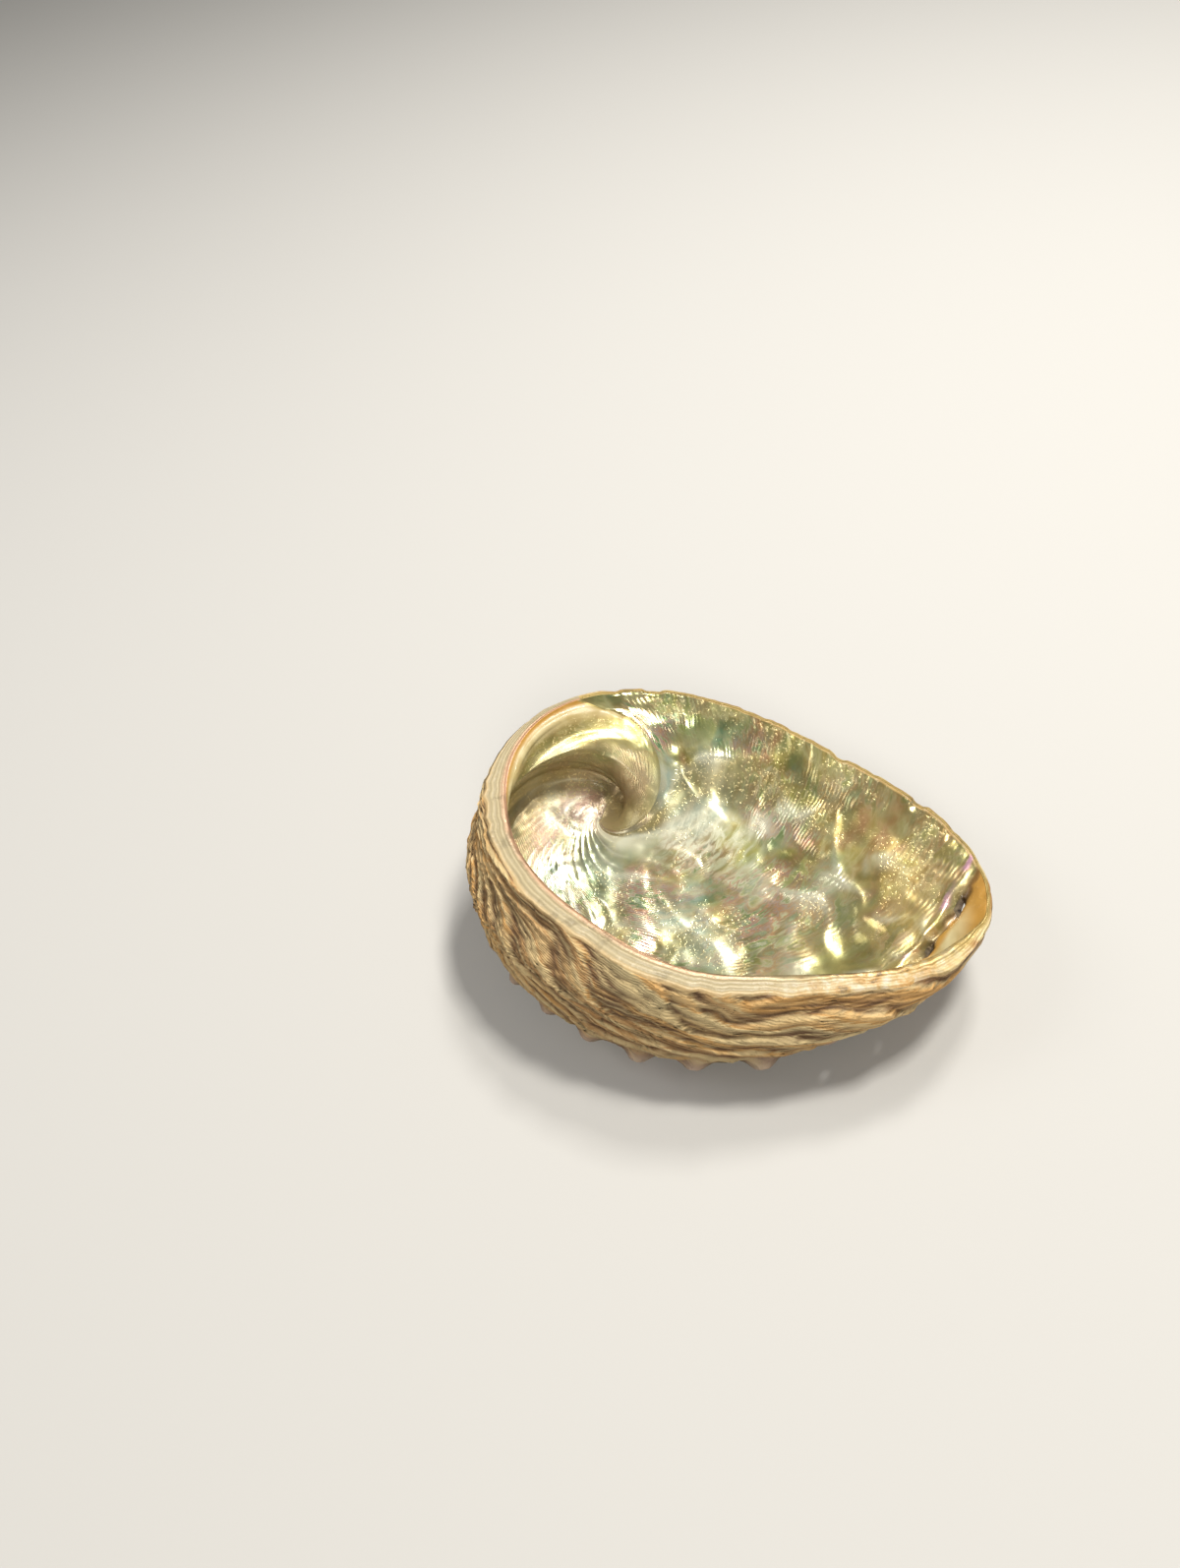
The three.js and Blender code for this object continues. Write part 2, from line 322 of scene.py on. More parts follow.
def make_room_for_holes(u, turn, centres):
    """Pulls the grid lines round each open hole from squares into circles, less with distance."""
    reach = 4 * HOLE_CELLS
    for row in centres:
        rows = np.arange(max(0, row - reach), row + reach + 1)
        columns = np.arange(LIP_COLUMNS - reach, LIP_COLUMNS + reach + 1)
        dj, di = np.meshgrid(rows - row, columns - LIP_COLUMNS, indexing="ij")
        ring = np.maximum(np.abs(di), np.abs(dj)) / HOLE_CELLS
        spoke = np.maximum(np.hypot(di, dj), 1)
        here, place = turn[row, LIP_COLUMNS], u[row, LIP_COLUMNS]
        radius = HOLE_RADIUS * scale_at(here)
        want_u = place + ring * radius / speed(place, here, SPEED_STEP, 0) * di / spoke
        want_turn = here + ring * radius / speed(place, here, 0, SPEED_STEP) * dj / spoke
        hold = smooth(4, 1, ring)
        window = np.ix_(rows, columns)
        u[window] = mix(u[window], want_u, hold)
        turn[window] = np.where(dj == -row, 0, mix(turn[window], want_turn, hold))
    return u, turn


def tube_turns():
    """turn of every tube, newest first: the spacing grows a little from each to the next."""
    number = np.arange(TUBE_COUNT)
    return FIRST_TUBE_TURN + number * TUBE_SPACING_TURN + number ** 2 * TUBE_SPREADING_TURN


def tube_relief(points):
    """Raised tubes: an S-curve of the distance from each tube's axis lifts a collar, and a second
    one sinks a cup in its mouth. Gives the push along the axes, and each point's share of both."""
    push = np.zeros_like(points)
    collar = np.zeros(points.shape[:-1])
    cup = np.zeros(points.shape[:-1])
    for number, turn in enumerate(tube_turns()):
        place = np.array(float(hole_row(turn)))
        size = float(scale_at(turn))
        offset = points - outer_point(place, np.array(turn))
        axis = outward_normal(place, np.array(turn))
        along = offset @ axis
        across = norm(offset - along[..., None] * axis, axis=-1) / size
        near = norm(offset, axis=-1) < TUBE_REACH * TUBE_RADIUS * size
        closed = number >= OPEN_TUBES
        share = 1 - 0.1 * (number % 3) if closed else OPEN_TUBE_SHARE
        rise = smooth(TUBE_RADIUS * 1.3, TUBE_TOP_RADIUS * 0.7, across) * near
        mouth = smooth(TUBE_TOP_RADIUS * 0.8, TUBE_TOP_RADIUS * 0.25, across) * near
        deep = CUP_DEPTH if closed else OPEN_CUP_DEPTH
        push += axis * (size * (TUBE_HEIGHT * share * rise - deep * mouth))[..., None]
        collar = np.maximum(collar, rise)
        cup = np.maximum(cup, mouth)
    return push, collar, cup


# ---- relief

# Counts are per unit of u or per radian of turn, heights are millimetres at the lip.
PLATE_EDGE_SHARE = 0.14  # of a plate's length, where its edge stands up
CORDS = 44
BEADS = 46
ROOF_PLATES = 15
CORD_HEIGHT = 0.42
ROOF_PLATE_HEIGHT = 0.30
FOLD_HEIGHT = 0.6
COARSE_PLATES = 7.0
THIN_PLATES = 25
WALL_SLANT = 0.5  # turn that the wall's plates drift by for one unit of u
COARSE_HEIGHT = 1.5
THIN_HEIGHT = 0.36
WALL_INSET = 0.55
SUTURE_DEPTH = 0.9
LEDGE_HEIGHT = 0.5
FURROW_DEPTH = 0.45
SHOULDER_HEIGHT = 0.8
CRUST_ROUGHNESS = 0.13
OLD_LIP_SPACING = 0.13  # in turn times u
SPIRALS = 5.5
NET_HEIGHT = 0.50
DIMPLE_HEIGHT = 0.46
CHANNEL_DEPTH = 1.35
EDGE_HEIGHT = 0.5
CORNER_FILL = 0.6
KEEL_REACH = 11  # columns on each side that the keel's rounding takes in
KEEL_PASSES = 4
LIP_CHIP_DEPTH = 0.4
LIP_WEAR_INWARDS = 0.4  # how far the worn edge moves in, for one of down
FUNNEL_HALF_WIDTH = 2.3
FUNNEL_HALF_LENGTH = 3.4
LIP_WEAR_TURN = 0.02  # turn over which the wear fades out
LIP_THINNING = 0.5  # of the lip's thickness
LIP_THINNING_TURN = 0.06
LIP_SLANT = 0.25  # how much lower the lip's inner edge is
RIM_ARCH_HEIGHT = 0.20
RIM_LINE_HEIGHT = 0.12
RIM_CRUST_HEIGHT = 0.32


def ripple(phase):
    """Sharp ridges between broad hollows: 1 on a ridge, 0 halfway between."""
    return (1 - np.abs(np.sin(pi * phase))) ** 1.6


def plates(phase):
    """Overlapping plates: each stands up at its edge and slopes down to the next one's edge."""
    f = phase - np.floor(phase)
    edge = PLATE_EDGE_SHARE
    return np.where(f < edge, f / edge, 1 - (f - edge) / (1 - edge))


def plate_tone(phase, seed):
    """A chance shade between 0 and 1 for each plate."""
    shades = np.random.default_rng(seed).uniform(0, 1, 512)
    return shades[np.floor(phase).astype(int) % 512]


def roof_relief(u, turn, points):
    """Beaded spiral cords, crossed by low growth plates, over broad oblique folds.
    Gives the height in millimetres, the cords' crests and the plates' shades."""
    size = scale_at(turn)
    wander = 0.30 * waves(points, 15, 3) + 0.12 * waves(points, 5, 4)
    cord = 0.5 + 0.5 * np.cos(2 * pi * (CORDS * u + wander))
    phase = ROOF_PLATES * turn + 0.7 * waves(points, 13, 11) + 0.25 * waves(points, 4, 12)
    growth = plates(phase)
    step = BEADS * turn + 0.8 * waves(points, 6, 13)
    beads = 0.62 + 0.38 * np.cos(2 * pi * step)
    cords = cord ** 1.2 * beads * smooth(0.03, 0.14, u) * smooth(1.0, 0.95, u)
    folds = waves(points * (1.0, 0.6, 1.0), 16, 31) * smooth(0.1, 0.8, turn)
    fine = size ** 0.75
    height = fine * (CORD_HEIGHT * cords + ROOF_PLATE_HEIGHT * growth) + FOLD_HEIGHT * size * folds
    return height, 0.65 * cords + 0.35 * growth, plate_tone(phase, 14)


def wall_relief(u, turn, points):
    """Overlapping plates that run slantwise along the wall, coarse and ragged, with thinner ones
    between. Away from the rim it all lies a little in, and no gap is too deep."""
    size = scale_at(turn)
    past_row = u - hole_row(turn)
    oblique = turn + WALL_SLANT * past_row * smooth(0.15, 0.7, past_row)
    coarse = COARSE_PLATES * oblique + 0.65 * waves(points, 24, 21) + 0.10 * waves(points, 6, 22)
    thin = THIN_PLATES * oblique + 1.1 * waves(points, 16, 23) + 0.22 * waves(points, 4, 24)
    ragged = 0.5 + 0.5 * waves(points, 7, 25)
    height = COARSE_HEIGHT * (plates(coarse) - 0.5) * (0.4 + 0.6 * ragged)
    height = height + THIN_HEIGHT * (plates(thin) - 0.5)
    room = np.maximum(smooth(0.1, 0.4, past_row), smooth(0.15, 0.4, turn))
    inset = WALL_INSET * room * smooth(0, 0.06, past_row)
    height = np.maximum(height - inset, -0.5 - 0.5 * room)
    tone = 0.55 * plate_tone(coarse, 26) + 0.45 * plate_tone(thin, 27)
    return height * size ** 0.7, 0.55 * plates(coarse) + 0.45 * plates(thin), tone


def outer_relief(u, turn, points):
    """The roof's and the wall's relief, a groove at the suture, a ledge and a furrow along the row
    of holes, a shoulder below it at the head, and a fine crust. Gives height, crests and shades."""
    size = scale_at(turn)
    row = hole_row(turn)
    roof = smooth(0, 0.03, u) * smooth(row + 0.01, row - 0.02, u)
    wall = smooth(row, row + 0.04, u) * smooth(2.0, 1.92, u)
    roof_height, roof_crest, roof_tone = roof_relief(u, turn, points)
    wall_height, wall_crest, wall_tone = wall_relief(u, turn, points)
    suture = bell(np.minimum(u, 2 - u), 0.016) * smooth(0.02, 0.3, turn)
    ledge = bell(u - row + 0.004, 0.014)
    furrow = bell(u - row - 0.05, 0.014) * smooth(0.4, 0.9, turn)
    shoulder = bell(u - 1.06, 0.07) * smooth(0.45, 0.1, turn)
    height = roof * roof_height + wall * wall_height
    height = height + size * (LEDGE_HEIGHT * ledge - SUTURE_DEPTH * suture - FURROW_DEPTH * furrow)
    height = height + SHOULDER_HEIGHT * shoulder + CRUST_ROUGHNESS * waves(points, 2.6, 41)
    return height, roof * roof_crest + wall * wall_crest, mix(roof_tone, wall_tone, u > row)


def inner_relief(u, turn, points):
    """Hammered nacre: a net of old growth ridges and spiral ones, soft dimples between, a channel
    with a raised edge along the row of holes, and a filled corner where the wall meets the turn
    before. Gives the height and the net."""
    size = scale_at(turn)
    wander = 0.40 * waves(points, 21, 51) + 0.14 * waves(points, 9, 54)
    old_lips = ripple((turn * np.minimum(u, 1.0) - 0.12) / OLD_LIP_SPACING + wander)
    drift = 0.50 * waves(points, 17, 52) + 0.14 * waves(points, 8, 55)
    spirals = ripple(SPIRALS * u + drift)
    strong = 0.55 + 0.45 * waves(points, 13, 56)
    net = np.maximum(old_lips * strong, spirals * (1.1 - strong) * 0.9)
    bowl = smooth(1.22, 0.98, u) * smooth(0.03, 0.22, turn)
    dimples = DIMPLE_HEIGHT * waves(points, 11, 53) + 0.10 * waves(points, 6, 57)
    along_row = smooth(0.015, 0.10, turn) * smooth(1.3, 0.8, turn)
    gap = (u - hole_row(turn)) * GAP_PER_U + 0.8 * waves(points, 6, 58)
    edge = EDGE_HEIGHT * bell(gap + 3.1, 1.5) - CHANNEL_DEPTH * bell(gap, 1.7)
    corner = smooth(1.66, 1.85, u) * smooth(0.03, 0.2, turn) * smooth(1.7, 1.1, turn)
    height = (NET_HEIGHT * net + dimples) * bowl * size ** 1.3 + edge * along_row
    height = height + CORNER_FILL * corner
    # share of painted highlight: high on the ridges, and low in the valleys where shade is painted
    return height, np.clip(0.5 * net + 0.7 * dimples + 0.25, 0, 1) * bowl


def round_keel(points):
    """Softens the crease along the keel, by averaging neighbours across it."""
    reach = KEEL_REACH
    for _ in range(KEEL_PASSES):
        patch = points[:, LIP_COLUMNS - reach:LIP_COLUMNS + reach + 1].copy()
        middle = 0.5 * patch[:, 1:-1] + 0.25 * (patch[:, :-2] + patch[:, 2:])
        points[:, LIP_COLUMNS - reach + 1:LIP_COLUMNS + reach] = middle
    return points


def grid_normals(points):
    """Outward normals of a closed band of rows, from the neighbours of each point."""
    along = np.roll(points, -1, axis=1) - np.roll(points, 1, axis=1)
    back = np.gradient(points, axis=0)
    return unit(np.cross(along, back))


def worn_lip(u):
    """How far the lip is worn back, in millimetres: a wavy edge with a few small chips."""
    edge = vectors(30 * np.cos(pi * u), 30 * np.sin(pi * u), 0 * u)
    wavy = 0.10 * (1 + waves(edge, 8, 61)) + 0.07 * (1 + waves(edge, 2.5, 62))
    chips = LIP_CHIP_DEPTH * smooth(0.6, 1.1, waves(edge, 5, 63))
    return (wavy + chips) * smooth(0.03, 0.08, u) * smooth(1.0, 0.9, u)


def make_outer_sheet(u, turn, wear):
    """The outside: smooth sheet, relief, tubes and worn lip. Gives the points and their values."""
    points = round_keel(outer_point(u, turn))
    normal = grid_normals(points)
    push, collar, cup = tube_relief(points)
    relief, crest, tone = outer_relief(u, turn, points)
    points = points + normal * (relief * (1 - collar))[..., None] + push
    points = points + LIP_WEAR_INWARDS * across_rim(u[0]) * wear[..., None]
    points[..., 2] -= wear
    return points, {"crest": crest, "tone": tone, "collar": collar, "cup": cup}


def make_inner_sheet(u, turn, wear, outer, at_rim):
    """The inside: smooth sheet, hammered relief, and a lip that thins towards the outer sheet.
    Gives the points and the net of ridges."""
    points = round_keel(inner_point(u, turn))
    normal = grid_normals(points)
    height, net = inner_relief(u, turn, points)
    points = points - normal * height[..., None]
    thin = smooth(0.02, 0.10, u[0]) * smooth(1.0, 0.85, u[0]) * bell(turn, LIP_THINNING_TURN)
    points[..., 2] -= wear + LIP_SLANT * thin * at_rim
    points = points + 0.5 * LIP_WEAR_INWARDS * across_rim(u[0]) * wear[..., None]
    return mix(points, outer, LIP_THINNING * thin[..., None]), net


def hole_funnels(u, turn):
    """1 in the middle of each open hole, falling to 0 at the edge of an oval round it."""
    across = (u - hole_row(turn)) * GAP_PER_U
    funnel = np.zeros_like(u)
    for middle in tube_turns()[:OPEN_TUBES]:
        along = (turn - middle) * speed(float(hole_row(middle)), middle, 0, SPEED_STEP)
        oval = np.hypot(across / FUNNEL_HALF_WIDTH, along / FUNNEL_HALF_LENGTH)
        funnel = np.maximum(funnel, smooth(1.0, 0.3, oval))
    return funnel


def make_sheets():
    """Outer and inner grids of points with their values, and the rows of the open holes."""
    turns = row_turns()
    u, turn = grid_coordinates(turns)
    centres = [nearest_row(turns, t) for t in tube_turns()[:OPEN_TUBES]]
    u, turn = make_room_for_holes(u, turn, centres)
    at_rim = bell(turn, LIP_WEAR_TURN)
    wear = worn_lip(u[0]) * at_rim
    outer, values = make_outer_sheet(u, turn, wear)
    common = {"u": u, "turn": turn, "row_gap": (u - hole_row(turn)) * GAP_PER_U}
    outside = {**common, **values}

    rows = nearest_row(turns, INNER_END_TURN) + 1
    u, turn = u[:rows], turn[:rows]
    inner, net = make_inner_sheet(u, turn, wear[:rows], outer[:rows], at_rim[:rows])
    inside = {key: value[:rows] for key, value in common.items()}
    inside.update(crest=net, tone=0, collar=0, cup=hole_funnels(u, turn))
    return outer, outside, inner, inside, centres


# ---- the mesh

def hole_cells(centres):
    """True for each cell of the grid that a hole takes out."""
    gone = np.zeros((OUTER_ROWS, COLUMNS), bool)
    for row in centres:
        low, high = row - HOLE_CELLS, row + HOLE_CELLS
        gone[low:high, LIP_COLUMNS - HOLE_CELLS:LIP_COLUMNS + HOLE_CELLS] = True
    return gone


def band_faces(index, keep, flip):
    """Four-sided faces between neighbouring rows of a grid of vertex numbers."""
    after = np.roll(index, -1, axis=1)
    quads = np.stack([index[:-1], after[:-1], after[1:], index[1:]], axis=-1)
    if flip:
        quads = quads[..., ::-1]
    return quads[keep]


def ring_round_hole(index, row):
    """Vertex numbers round a hole's patch."""
    b, c = HOLE_CELLS, LIP_COLUMNS
    low = index[row - b, c - b:c + b]
    right = index[row - b:row + b, c + b]
    high = index[row + b, c + b:c - b:-1]
    left = index[row + b:row - b:-1, c - b]
    return np.concatenate([low, right, high, left])


class Body:
    """Points, faces and what the finish needs to know, gathered piece by piece."""

    def __init__(self):
        self.points, self.values, self.faces, self.finishes = [], [], [], []
        self.count = 0

    def add_points(self, points, values):
        """Takes in points and their values, and gives their numbers."""
        shape = points.shape[:-1]
        index = np.arange(self.count, self.count + int(np.prod(shape))).reshape(shape)
        self.count += index.size
        self.points.append(points.reshape(-1, 3))
        self.values.append({
            key: np.broadcast_to(value, shape).reshape(-1).astype(float)
            for key, value in values.items()
        })
        return index

    def add_faces(self, faces, finish):
        """Takes in faces of one finish, as rows of vertex numbers."""
        faces = faces.reshape(-1, faces.shape[-1])
        self.faces.append(faces)
        self.finishes.append(np.full(len(faces), finish))


def make_body():
    """Both sheets, joined by the rim, closed at their small ends, with the open holes' walls."""
    outer, outside, inner, inside, centres = make_sheets()
    body = Body()
    outer_index = body.add_points(outer, {**outside, "across": 0})
    inner_index = body.add_points(inner, {**inside, "across": 1})
    rows = inner.shape[0]
    keep = ~hole_cells(centres)
    body.add_faces(band_faces(outer_index, keep, False), CRUST)
    body.add_faces(band_faces(inner_index, keep[:rows - 1], True), NACRE)
    add_rim(body, outside, outer[0], inner[0], outer_index[0], inner_index[0])
    add_cap(body, outer_index[-1], outer[-1], outside, CRUST, False)
    add_cap(body, inner_index[-1], inner[-1], inside, NACRE, True)
    for row in centres:
        add_hole_wall(body, ring_round_hole(outer_index, row), ring_round_hole(inner_index, row))
    return body


def add_rim(body, values, outside, inside, outside_index, inside_index):
    """The rim's face: rings from the outer edge to the inner one, with an arch, fine lines on the
    shelf, and crust at the head."""
    u = values["u"][0]
    across = np.linspace(0, 1, RIM_RINGS + 2)[1:-1, None]
    points = mix(outside, inside, across[..., None])
    width = rim_width(u)
    arch = np.sin(pi * across) ** 0.6 * np.minimum(width, 2) / LIP_THICKNESS
    lines = np.sin(across * 15 + 2 * waves(points, 18, 71)) * smooth(2.0, 4.0, width)
    crust = waves(points, 2.6, 72) * smooth(0.88, 0.97, u) * smooth(1.35, 1.1, u)
    height = RIM_ARCH_HEIGHT * arch + RIM_LINE_HEIGHT * lines + RIM_CRUST_HEIGHT * crust
    points[..., 2] += height * smooth(0, 0.15, across) * smooth(1, 0.85, across)
    rim_values = {key: value[0] for key, value in values.items()}
    index = body.add_points(points, {**rim_values, "across": across})
    rings = np.vstack([outside_index, index, inside_index])
    body.add_faces(band_faces(rings, np.ones((len(rings) - 1, COLUMNS), bool), True), RIM)


def add_cap(body, ring, points, values, finish, flip):
    """Closes a small end with a fan round its middle."""
    tip_values = {key: value[-1].mean() if np.ndim(value) else value for key, value in values.items()}
    tip_values["across"] = float(flip)
    tip = body.add_points(points.mean(axis=0, keepdims=True), tip_values)
    fan = np.stack([ring, np.roll(ring, -1), np.full(COLUMNS, tip[0])], axis=-1)
    body.add_faces(fan[:, ::-1] if flip else fan, finish)


def add_hole_wall(body, outside, inside):
    """The short tube through the wall at an open hole."""
    after_out, after_in = np.roll(outside, -1), np.roll(inside, -1)
    body.add_faces(np.stack([outside, after_out, after_in, inside], axis=-1), CRUST)


def place_on_ground(points):
    """Lays the shell down where the solid model lies, inside the solid model's box."""
    placed = (points @ LAY_DOWN.T + RIM_ORIGIN_ON_GROUND) * MM
    low, high = np.array(cad_box)
    return np.clip(placed, low, high)


def build_mesh(body, name):
    """A mesh of the whole body, with its finishes and its values as attributes."""
    placed = place_on_ground(np.concatenate(body.points))
    mesh = bpy.data.meshes.new(name)
    faces = [f for group in body.faces for f in group.tolist()]
    mesh.from_pydata(placed.tolist(), [], faces)
    mesh.polygons.foreach_set("material_index", np.concatenate(body.finishes).astype(np.int32))
    mesh.polygons.foreach_set("use_smooth", np.ones(len(faces), bool))
    values = {k: np.concatenate([v[k] for v in body.values]) for k in body.values[0]}
    values["size"] = scale_at(values["turn"])
    for key in ("across", "crest", "tone", "collar", "cup", "size", "row_gap"):
        attribute = mesh.attributes.new(key, "FLOAT", "POINT")
        attribute.data.foreach_set("value", values[key].astype(np.float32))
    add_growth_map(mesh, values["u"], values["turn"])
    return mesh


def add_growth_map(mesh, u, turn):
    """UV map of growth: u across and turn up, with u = 2 where the last column meets the first."""
    corner = np.empty(len(mesh.loops), np.int32)
    mesh.loops.foreach_get("vertex_index", corner)
    totals = np.empty(len(mesh.polygons), np.int32)
    mesh.polygons.foreach_get("loop_total", totals)
    face = np.repeat(np.arange(len(totals)), totals)
    corner_u = u[corner]
    highest = np.zeros(len(totals))
    np.maximum.at(highest, face, corner_u)
    corner_u = np.where((corner_u == 0) & (highest[face] > 1.5), 2.0, corner_u)
    layer = mesh.uv_layers.new(name="growth")
    layer.data.foreach_set("uv", np.column_stack([corner_u, turn[corner]]).astype(np.float32).ravel())


# ---- node helpers

def tint(red, green, blue):
    """A colour given as it looks, 0 to 255, for a shader."""
    levels = np.array([red, green, blue]) / 255
    linear = np.where(levels <= 0.04045, levels / 12.92, ((levels + 0.055) / 1.055) ** 2.4)
    return (*linear.tolist(), 1.0)


class Nodes:
    """Short ways to add nodes to one tree. Each returns the socket it puts out."""

    def __init__(self, tree):
        self.tree = tree

    def add(self, kind, **settings):
        """A shader node of one kind, with its settings."""
        node = self.tree.nodes.new("ShaderNode" + kind)
        for key, value in settings.items():
            setattr(node, key, value)
        return node

    def feed(self, socket, value):
        """Links a socket to another, or sets its number or colour."""
        if isinstance(value, bpy.types.NodeSocket):
            self.tree.links.new(value, socket)
        else:
            socket.default_value = value

    def math(self, operation, *values):
        """One step of arithmetic on the values."""
        node = self.add("Math", operation=operation)
        for socket, value in zip(node.inputs, values):
            self.feed(socket, value)
        return node.outputs[0]

    def times(self, first, *others):
        """The product of all the values."""
        for other in others:
            first = self.math("MULTIPLY", first, other)
        return first

    def line(self, value, slope, start):
        """value times the slope, plus the start."""
        return self.math("MULTIPLY_ADD", value, slope, start)

    def most(self, first, *others):
        """The greatest of the values."""
        for other in others:
            first = self.math("MAXIMUM", first, other)
        return first

    def blend(self, factor, a, b):
        """Colours a and b blended: a at 0, b at 1."""
        node = self.add("Mix", data_type="RGBA")
        for number, value in ((0, factor), (6, a), (7, b)):
            self.feed(node.inputs[number], value)
        return node.outputs[2]

    def layers(self, colour, *layers):
        """colour with others laid over it in turn, each given as mask, strength and colour."""
        for mask, strength, over in layers:
            colour = self.blend(self.times(mask, strength), colour, over)
        return colour

    def blend_numbers(self, factor, a, b):
        """Numbers a and b blended in the same way."""
        return self.line(factor, self.math("SUBTRACT", b, a), a)

    def noise(self, vector, scale, detail=2.0, roughness=0.5, distortion=0.0):
        """Cloudy noise, between 0 and 1 and mostly near a half."""
        node = self.add("TexNoise")
        names = ("Vector", "Scale", "Detail", "Roughness", "Distortion")
        for name, value in zip(names, (vector, scale, detail, roughness, distortion)):
            self.feed(node.inputs[name], value)
        return node.outputs["Fac"]

    def ramp(self, value, stops):
        """A colour that goes from stop to stop as the value rises."""
        node = self.add("ValToRGB")
        elements = node.color_ramp.elements
        while len(elements) < len(stops):
            elements.new(0.5)
        for element, (place, colour) in zip(elements, stops):
            element.position = place
            element.color = colour
        self.feed(node.inputs[0], value)
        return node.outputs[0]

    def span(self, value, start, end):
        """0 before start, 1 after end, and an S-curve between them."""
        node = self.add("MapRange", interpolation_type="SMOOTHSTEP")
        for socket, number in zip(node.inputs, (value, start, end)):
            self.feed(socket, number)
        return node.outputs[0]

    def attribute(self, name):
        """One of the values that the mesh carries."""
        return self.add("Attribute", attribute_name=name).outputs["Fac"]

    def place(self):
        """Where a point is, in metres."""
        return self.add("TexCoord").outputs["Object"]

    def growth(self):
        """u and turn of a surface point."""
        split = self.add("SeparateXYZ")
        self.feed(split.inputs[0], self.add("UVMap", uv_map="growth").outputs[0])
        return split.outputs[0], split.outputs[1]

    def along_growth(self, per_u, per_turn):
        """Coordinates along the growth: so many units for one of u and one of turn."""
        node = self.add("CombineXYZ")
        u, turn = self.growth()
        self.feed(node.inputs[0], self.times(u, per_u))
        self.feed(node.inputs[1], self.times(turn, per_turn))
        return node.outputs[0]

    def bump(self, height, distance, strength=1.0, normal=None):
        """Fine relief of up to the distance in metres, on top of any other given."""
        node = self.add("Bump")
        for name, value in (("Distance", distance), ("Strength", strength), ("Height", height)):
            self.feed(node.inputs[name], value)
        if normal is not None:
            self.feed(node.inputs["Normal"], normal)
        return node.outputs[0]

    def group(self, group, **inputs):
        """A shared effect, with its own values here."""
        node = self.add("Group", node_tree=group)
        for key, value in inputs.items():
            self.feed(node.inputs[key], value)
        return node.outputs[0]


def start_group(name, inputs, output):
    """A new shared effect: its tree, and the sockets inside it."""
    group = bpy.data.node_groups.new(name, "ShaderNodeTree")
    for key in inputs:
        group.interface.new_socket(key, in_out="INPUT", socket_type="NodeSocketFloat")
    group.interface.new_socket(output, in_out="OUTPUT", socket_type="NodeSocketFloat")
    given, out = (group.nodes.new(kind) for kind in ("NodeGroupInput", "NodeGroupOutput"))
    return group, Nodes(group), given.outputs, out.inputs


def growth_lines_group():
    """Lines that follow the old edges of the shell: a wave of turn, put out of step by noise."""
    group, n, given, out = start_group("growth lines", ("Count", "Wander", "Along"), "Lines")
    u, turn = n.growth()
    wander = n.times(n.noise(n.place(), 90, 3, 0.6), given["Wander"])
    phase = n.line(turn, given["Count"], n.line(u, given["Along"], wander))
    wave = n.math("SINE", n.times(phase, 2 * pi))
    n.feed(out["Lines"], n.line(wave, 0.5, 0.5))
    return group


def patches_group():
    """Cloudy patches: 1 where noise of the given scale is high, with edges as sharp as asked."""
    names = ("Scale", "Level", "Softness", "Shift")
    group, n, given, out = start_group("patches", names, "Patch")
    moved = n.add("VectorMath", operation="ADD")
    n.feed(moved.inputs[0], n.place())
    n.feed(moved.inputs[1], given["Shift"])
    value = n.noise(moved.outputs[0], given["Scale"], 4, 0.6, 0.4)
    low = n.math("SUBTRACT", given["Level"], given["Softness"])
    high = n.math("ADD", given["Level"], given["Softness"])
    n.feed(out["Patch"], n.span(value, low, high))
    return group


def start_material(name):
    """A new material, its tree, and its shader's sockets."""
    material = bpy.data.materials.new(name)
    material.use_nodes = True
    shader = material.node_tree.nodes["Principled BSDF"]
    return material, Nodes(material.node_tree), shader.inputs


# ---- finishes

# Mother of pearl.
OLIVE = tint(132, 122, 60)
STRAW = tint(196, 182, 108)
CHAMPAGNE = tint(228, 216, 154)
TAN = tint(186, 160, 96)
SILVER = tint(240, 240, 214)
PALE_GREEN = tint(166, 182, 104)
TEAL = tint(92, 150, 114)
PINK = tint(220, 148, 124)
LILAC = tint(200, 172, 178)
SKY = tint(196, 218, 204)
SPIRE_GREEN = tint(124, 140, 112)
SPIRE_PINK = tint(176, 146, 132)
DULL_GOLD = tint(196, 180, 122)
BAND_BROWN = tint(126, 114, 62)
HEAD_BROWN = tint(164, 134, 82)
VALLEY_SHADE_BROWN = tint(118, 104, 52)
VALLEY_SHADE_GREEN = tint(112, 124, 88)
SPARKLE_GOLD = tint(246, 226, 166)
FOLD_AMBER = tint(180, 132, 54)
FOLD_DULL = tint(180, 160, 108)
FOLD_PALE = tint(204, 190, 146)
AMBER_WITH_SHADE = tint(92, 64, 26)
HOLE_SHADE_BROWN = tint(66, 46, 22)
HIGHLIGHT_PINK = tint(222, 168, 196)

# Crust and rim.
CREAM = tint(212, 187, 135)
CHALK = tint(228, 220, 200)
OCHRE = tint(202, 152, 84)
RUST_OCHRE = tint(178, 134, 80)
GREY_OLIVE = tint(140, 132, 100)
KEEL_SHADE_BROWN = tint(116, 100, 74)
ROOF_GAP_SHADE = tint(92, 84, 54)
UMBER = tint(72, 50, 30)
WALL_GAP_SHADE = tint(98, 69, 41)
BRICK = tint(156, 74, 52)
ROSE = tint(206, 160, 140)
WORN_GREY = tint(196, 200, 184)
WORN_BLUE = tint(150, 196, 190)
SHELF_DARK = tint(150, 136, 104)
SHELF_PALE = tint(194, 178, 140)
SHELF_PINK = tint(224, 168, 138)
LIP_BROWN = tint(168, 124, 68)
LIP_CREAM = tint(214, 192, 138)


